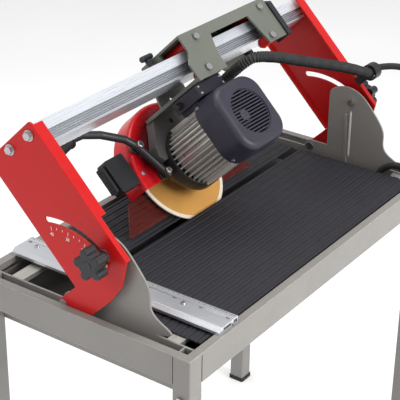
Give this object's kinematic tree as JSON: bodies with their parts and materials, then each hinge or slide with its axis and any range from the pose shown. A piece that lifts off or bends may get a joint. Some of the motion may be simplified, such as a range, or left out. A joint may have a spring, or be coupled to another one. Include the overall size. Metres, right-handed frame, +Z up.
{
  "type": "masonry saw",
  "caption": "Bench saw for tile and masonry: legged tray with ribbed table, tilting overhead rail, rolling motor carriage, guarded blade, stop fence.",
  "frame": {"origin": "centre of the work table, on its top face", "axes": "+X along the guide rail and the cut, away from the stop fence; +Y to the blade side, where the rail leans over; +Z up"},
  "size_m": [0.869, 0.4828, 0.9384],
  "materials": {
    "frame_grey": "satin powder coat, warm grey",
    "bracket_red": "gloss powder coat, bright red",
    "guard_red": "gloss powder coat, bright red",
    "table_black": "ribbed rubber mat on sheet steel",
    "aluminium": "extruded, satin anodised",
    "fin_alloy": "cast, machined",
    "steel": "zinc plated",
    "blade_gold": "golden coated core with diamond rim",
    "shield_red": "clear red moulding",
    "black_plastic": "textured black moulding",
    "cast_dark": "dark painted casting",
    "rubber_black": "matt black",
    "roller_red": "polyurethane tread",
    "basin_grey": "moulded",
    "carriage_grey": "satin grey-green",
    "copper": "varnished winding wire"
  },
  "bodies": {
    "stand": {"tray_frame": "frame_grey", "legs": "frame_grey", "foot_caps": "rubber_black", "end_braces": "frame_grey", "stand_bolts": "steel", "water_basin": "basin_grey", "support_bars": "steel", "table_panel_left": "table_black", "table_panel_right": "table_black", "end_plate_near": "frame_grey", "end_plate_far": "frame_grey", "clamp_studs": "steel", "angle_pointer": "steel", "water_pump": "black_plastic", "water_hose": "rubber_black", "drain_plug": "black_plastic"},
    "tilt_frame": {"tilt_bracket_near": "bracket_red", "tilt_bracket_far": "bracket_red", "pivot_pins": "steel", "guide_rail": "aluminium", "rail_bolts": "steel", "conduit": "rubber_black", "conduit_clip": "black_plastic"},
    "carriage": {"carriage_body": "carriage_grey", "roller_axles": "steel", "hanger_arm": "cast_dark", "motor_front_bell": "cast_dark", "motor_housing": "fin_alloy", "terminal_box": "black_plastic", "stator": "copper", "rear_bearing_plate": "cast_dark", "bearing_front": "steel", "bearing_rear": "steel", "fan_cover": "black_plastic", "cover_screws": "steel", "blade_guard": "guard_red", "splash_shield": "shield_red", "rail_wiper": "black_plastic", "handle_bar": "cast_dark", "handle_grip": "black_plastic", "handle_bolts": "steel", "switch_box": "black_plastic", "conduit_tail": "rubber_black"},
    "spindle": {"motor_shaft": "steel", "rotor_core": "cast_dark", "cooling_fan": "black_plastic", "saw_blade": "blade_gold", "blade_flanges": "steel", "arbor_nut": "steel"},
    "fence": {"stop_fence": "aluminium", "fence_screws": "steel"},
    "knob_near": {"tilt_knob_near": "black_plastic"},
    "knob_far": {"tilt_knob_far": "black_plastic"},
    "lock_handle": {"lock_screw": "black_plastic"},
    "paddle": {"switch_paddle": "black_plastic"},
    "wheel_upper_rear": {"roller_upper_rear": "roller_red"},
    "wheel_upper_front": {"roller_upper_front": "roller_red"},
    "wheel_lower_rear": {"roller_lower_rear": "roller_red"},
    "wheel_lower_front": {"roller_lower_front": "roller_red"}
  },
  "joints": [
    {"name": "head_tilt", "type": "hinge", "parent": "stand", "child": "tilt_frame", "pos_m": [0, 0.039, 0.003], "axis": [1, 0, 0], "range_deg": [0, 45]},
    {"name": "carriage_slide", "type": "slide", "parent": "tilt_frame", "child": "carriage", "axis": [1, 0, 0], "range_m": [-0.302, 0.08]},
    {"name": "blade_spin", "type": "hinge", "parent": "carriage", "child": "spindle", "pos_m": [0.027, 0.10547, 0.06947], "axis": [0, -0.7071, 0.7071], "continuous": true},
    {"name": "fence_slide", "type": "slide", "parent": "stand", "child": "fence", "axis": [1, 0, 0], "range_m": [-0.02, 0.09]},
    {"name": "knob_near_turn", "type": "hinge", "parent": "stand", "child": "knob_near", "pos_m": [-0.4, -0.04616, 0.11601], "axis": [1, 0, 0], "range_deg": [-180, 180]},
    {"name": "knob_far_turn", "type": "hinge", "parent": "stand", "child": "knob_far", "pos_m": [0.4, -0.04616, 0.11601], "axis": [1, 0, 0], "range_deg": [-180, 180]},
    {"name": "lock_turn", "type": "hinge", "parent": "carriage", "child": "lock_handle", "pos_m": [-0.006, 0.15355, 0.25897], "axis": [0, 0.7071, 0.7071], "range_deg": [-180, 180]},
    {"name": "switch_press", "type": "slide", "parent": "carriage", "child": "paddle", "axis": [1, 0, 0], "range_m": [0, 0.003]},
    {"name": "wheel_upper_rear_roll", "type": "hinge", "parent": "carriage", "child": "wheel_upper_rear", "pos_m": [0.04, 0.13167, 0.2682], "axis": [0, -0.7071, 0.7071], "range_deg": [-1800, 1800]},
    {"name": "wheel_upper_front_roll", "type": "hinge", "parent": "carriage", "child": "wheel_upper_front", "pos_m": [0.238, 0.13167, 0.2682], "axis": [0, -0.7071, 0.7071], "range_deg": [-1800, 1800]},
    {"name": "wheel_lower_rear_roll", "type": "hinge", "parent": "carriage", "child": "wheel_lower_rear", "pos_m": [0.022, 0.06513, 0.25399], "axis": [0, -0.7071, 0.7071], "range_deg": [-1800, 1800]},
    {"name": "wheel_lower_front_roll", "type": "hinge", "parent": "carriage", "child": "wheel_lower_front", "pos_m": [0.222, 0.06513, 0.25399], "axis": [0, -0.7071, 0.7071], "range_deg": [-1800, 1800]}
  ],
  "couplings": [
    {"joint": "wheel_upper_rear_roll", "follows": "carriage_slide", "rad_per_m": -100},
    {"joint": "wheel_upper_front_roll", "follows": "carriage_slide", "rad_per_m": -100},
    {"joint": "wheel_lower_rear_roll", "follows": "carriage_slide", "rad_per_m": 100},
    {"joint": "wheel_lower_front_roll", "follows": "carriage_slide", "rad_per_m": 100}
  ]
}
